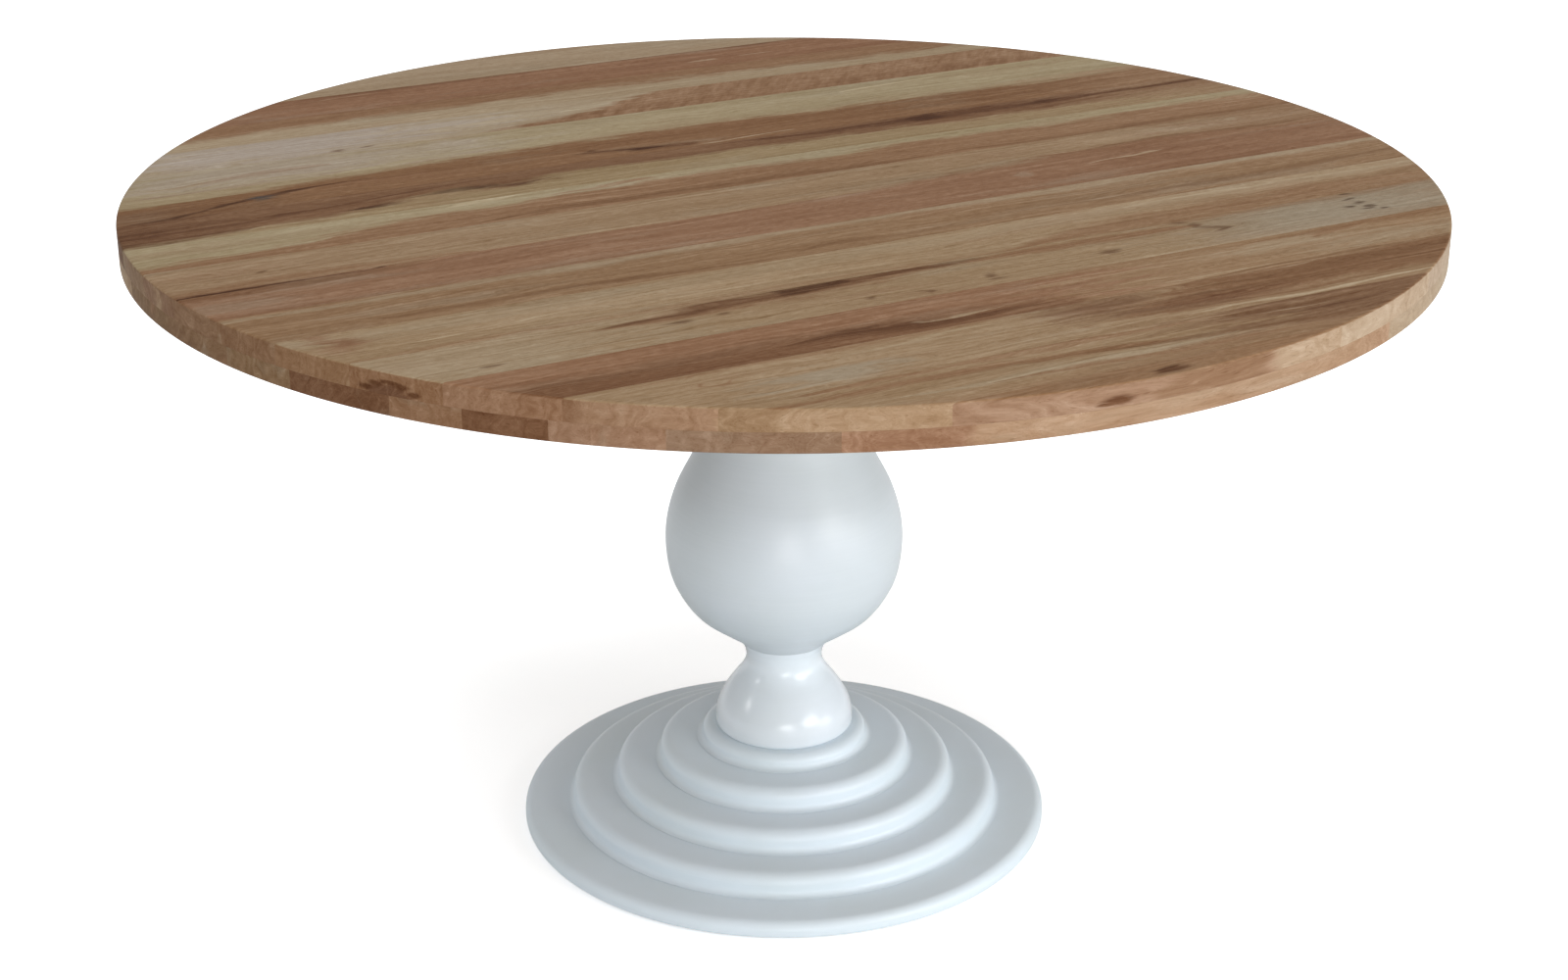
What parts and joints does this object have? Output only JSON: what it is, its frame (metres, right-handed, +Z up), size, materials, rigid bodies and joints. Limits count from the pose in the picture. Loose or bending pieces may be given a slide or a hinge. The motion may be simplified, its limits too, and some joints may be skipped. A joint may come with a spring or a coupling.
{
  "type": "round pedestal table",
  "caption": "Round dining table: edge-glued two-layer hardwood top on a turned white pear-and-bell column, stepped round base, levelling feet that screw in and out.",
  "frame": {"origin": "on the floor, on the column's axis, under the centre of the top", "axes": "+Z up; the picture looks along +Y, with +X to its right; the top's boards run 29 degrees anticlockwise from +X, seen from above"},
  "size_m": [1.4, 1.4, 0.76],
  "materials": {
    "wood_pale": "matte oiled sapwood",
    "wood_tan": "matte oiled hardwood",
    "wood_red": "matte oiled heartwood",
    "wood_dark": "matte oiled dark heartwood with mineral streaks",
    "white_lacquer": "satin cool-white lacquer over turned wood",
    "black_steel": "matte black powder coat",
    "zinc_steel": "zinc plated",
    "foot_plastic": "matte black"
  },
  "bodies": {
    "table": {"top_board_01": "wood_red", "top_board_02": "wood_tan", "top_board_03": "wood_tan", "top_board_04": "wood_red", "top_board_05": "wood_pale", "top_board_06": "wood_pale", "top_board_07": "wood_tan", "top_board_08": "wood_red", "top_board_09": "wood_pale", "top_board_10": "wood_red", "top_board_11": "wood_dark", "top_board_12": "wood_red", "top_board_13": "wood_pale", "top_board_14": "wood_tan", "top_board_15": "wood_tan", "top_board_16": "wood_red", "top_board_17": "wood_pale", "under_board_01": "wood_pale", "under_board_02": "wood_tan", "under_board_03": "wood_pale", "under_board_04": "wood_red", "under_board_05": "wood_tan", "under_board_06": "wood_red", "under_board_07": "wood_pale", "under_board_08": "wood_red", "under_board_09": "wood_pale", "under_board_10": "wood_tan", "under_board_11": "wood_red", "under_board_12": "wood_tan", "under_board_13": "wood_pale", "under_board_14": "wood_tan", "batten_left": "wood_tan", "batten_right": "wood_tan", "batten_screw_1": "zinc_steel", "batten_screw_2": "zinc_steel", "batten_screw_3": "zinc_steel", "batten_screw_4": "zinc_steel", "batten_screw_5": "zinc_steel", "batten_screw_6": "zinc_steel", "top_plate": "black_steel", "top_plate_screw_1": "zinc_steel", "top_plate_screw_2": "zinc_steel", "top_plate_screw_3": "zinc_steel", "top_plate_screw_4": "zinc_steel", "column_bulb": "white_lacquer", "column_bell": "white_lacquer", "base_step_1": "white_lacquer", "base_step_2": "white_lacquer", "base_step_3": "white_lacquer", "base_step_4": "white_lacquer", "base_brim": "white_lacquer", "base_plate": "black_steel", "tie_rod": "zinc_steel", "tie_rod_washer": "zinc_steel", "tie_rod_nut": "zinc_steel"},
    "levelling_foot_1": {"levelling_foot_1": "foot_plastic"},
    "levelling_foot_2": {"levelling_foot_2": "foot_plastic"},
    "levelling_foot_3": {"levelling_foot_3": "foot_plastic"},
    "levelling_foot_4": {"levelling_foot_4": "foot_plastic"}
  },
  "joints": [
    {"name": "foot_1_screw", "type": "slide", "parent": "table", "child": "levelling_foot_1", "axis": [0, 0, -1], "range_m": [0, 0.012]},
    {"name": "foot_2_screw", "type": "slide", "parent": "table", "child": "levelling_foot_2", "axis": [0, 0, -1], "range_m": [0, 0.012]},
    {"name": "foot_3_screw", "type": "slide", "parent": "table", "child": "levelling_foot_3", "axis": [0, 0, -1], "range_m": [0, 0.012]},
    {"name": "foot_4_screw", "type": "slide", "parent": "table", "child": "levelling_foot_4", "axis": [0, 0, -1], "range_m": [0, 0.012]}
  ]
}
